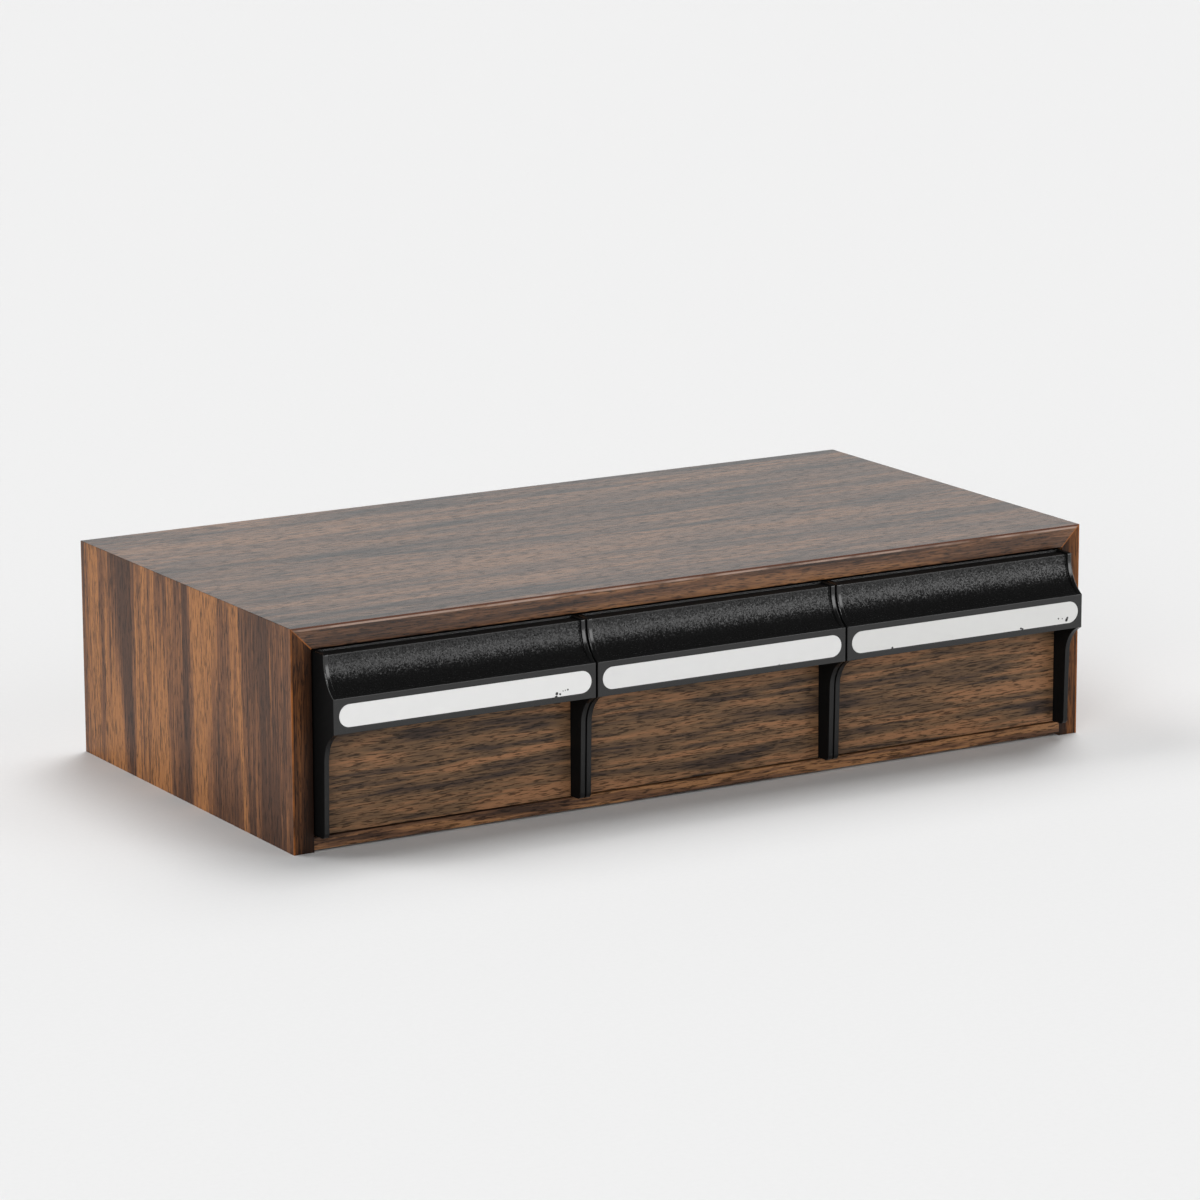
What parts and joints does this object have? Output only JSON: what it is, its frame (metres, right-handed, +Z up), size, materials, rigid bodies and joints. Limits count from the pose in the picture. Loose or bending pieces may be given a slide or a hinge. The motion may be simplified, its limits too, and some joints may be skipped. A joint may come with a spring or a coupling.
{
  "type": "cassette storage drawer chest",
  "caption": "Low tabletop chest in walnut-grain vinyl with sliding drawers for cassettes, each with a black moulded pull and a blank label strip.",
  "frame": {"origin": "on the table, under the middle of the chest's box, pulls included", "axes": "+X to the chest's right seen from the front, the drawers pull out towards -Y, +Z up"},
  "size_m": [0.482, 0.2676, 0.117],
  "materials": {
    "walnut_vinyl": "satin printed vinyl over chipboard",
    "hardboard": "smooth pressed hardboard",
    "beech": "bare planed beech",
    "front_plastic": "black moulded plastic, textured in the cove, glossy on the beads",
    "tray_plastic": "black moulded plastic, satin",
    "label_foil": "satin white foil strip",
    "steel": "zinc-plated steel"
  },
  "bodies": {
    "cabinet": {"top_panel": "walnut_vinyl", "left_side_panel": "walnut_vinyl", "right_side_panel": "walnut_vinyl", "bottom_panel": "walnut_vinyl", "back_panel": "hardboard", "left_partition": "hardboard", "right_partition": "hardboard", "bottom_dowels": "beech", "back_pins": "steel", "drawer_stops": "beech"},
    "left_drawer": {"left_drawer_pull_frame": "front_plastic", "left_drawer_wood_panel": "walnut_vinyl", "left_drawer_label_strip": "label_foil", "left_drawer_tray": "tray_plastic", "left_drawer_left_comb": "tray_plastic", "left_drawer_right_comb": "tray_plastic", "left_drawer_screws": "steel"},
    "middle_drawer": {"middle_drawer_pull_frame": "front_plastic", "middle_drawer_wood_panel": "walnut_vinyl", "middle_drawer_label_strip": "label_foil", "middle_drawer_tray": "tray_plastic", "middle_drawer_left_comb": "tray_plastic", "middle_drawer_right_comb": "tray_plastic", "middle_drawer_screws": "steel"},
    "right_drawer": {"right_drawer_pull_frame": "front_plastic", "right_drawer_wood_panel": "walnut_vinyl", "right_drawer_label_strip": "label_foil", "right_drawer_tray": "tray_plastic", "right_drawer_left_comb": "tray_plastic", "right_drawer_right_comb": "tray_plastic", "right_drawer_screws": "steel"}
  },
  "joints": [
    {"name": "left_drawer_slide", "type": "slide", "parent": "cabinet", "child": "left_drawer", "axis": [0, -1, 0], "range_m": [0, 0.1915]},
    {"name": "middle_drawer_slide", "type": "slide", "parent": "cabinet", "child": "middle_drawer", "axis": [0, -1, 0], "range_m": [0, 0.1915]},
    {"name": "right_drawer_slide", "type": "slide", "parent": "cabinet", "child": "right_drawer", "axis": [0, -1, 0], "range_m": [0, 0.1915]}
  ]
}
